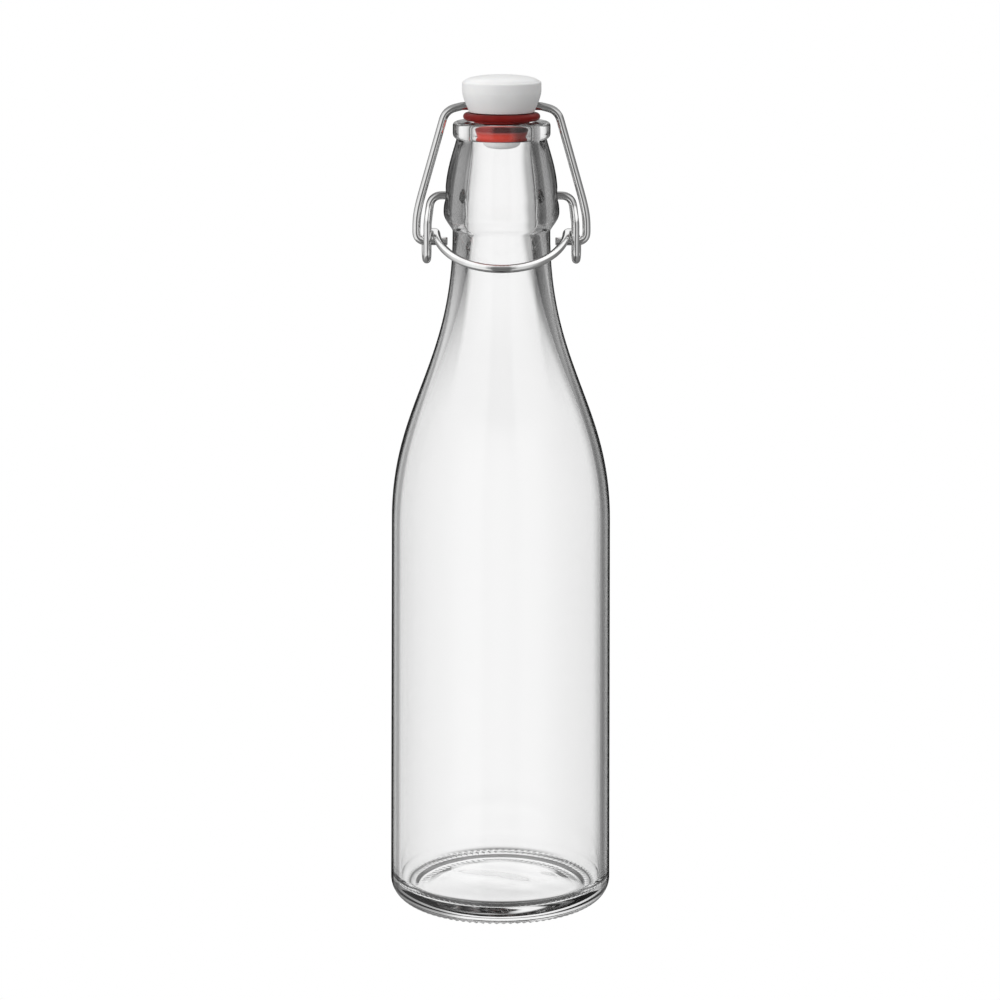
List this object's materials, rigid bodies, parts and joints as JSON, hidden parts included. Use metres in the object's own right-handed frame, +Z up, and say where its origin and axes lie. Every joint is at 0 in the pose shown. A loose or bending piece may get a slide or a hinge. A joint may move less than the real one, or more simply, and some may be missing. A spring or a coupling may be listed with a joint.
{
  "type": "swing-top bottle",
  "caption": "Clear glass bottle with a long neck, closed by a plug stopper and gasket that a wire bail and over-centre lever clamp on its lip.",
  "frame": {"origin": "on the bottle's axis, in the plane that its base stands on", "axes": "+Z up along the bottle's axis, -Y towards the front, where the lever's handle lies, +X along the closure's hinge axes"},
  "size_m": [0.07, 0.07, 0.2628],
  "materials": {
    "clear_glass": "clear, polished",
    "white_plastic": "satin moulded",
    "red_rubber": "smooth moulded",
    "steel_wire": "bright drawn wire"
  },
  "bodies": {
    "bottle": {"bottle": "clear_glass"},
    "lever": {"lever_wire": "steel_wire"},
    "bail": {"bail_wire": "steel_wire"},
    "stopper": {"stopper": "white_plastic", "gasket": "red_rubber"}
  },
  "joints": [
    {"name": "lever_pivot", "type": "hinge", "parent": "bottle", "child": "lever", "pos_m": [0, 0, 0.2241], "axis": [-1, 0, 0], "range_deg": [0, 105]},
    {"name": "bail_hook", "type": "hinge", "parent": "lever", "child": "bail", "pos_m": [0, 0, 0.2094], "axis": [-1, 0, 0], "range_deg": [-73, 0]},
    {"name": "stopper_swivel", "type": "hinge", "parent": "bail", "child": "stopper", "pos_m": [0, 0, 0.2528], "axis": [-1, 0, 0], "range_deg": [-33, 0]}
  ],
  "couplings": [
    {"joint": "bail_hook", "follows": "lever_pivot", "ratio": -0.692},
    {"joint": "stopper_swivel", "follows": "lever_pivot", "ratio": -0.308}
  ]
}
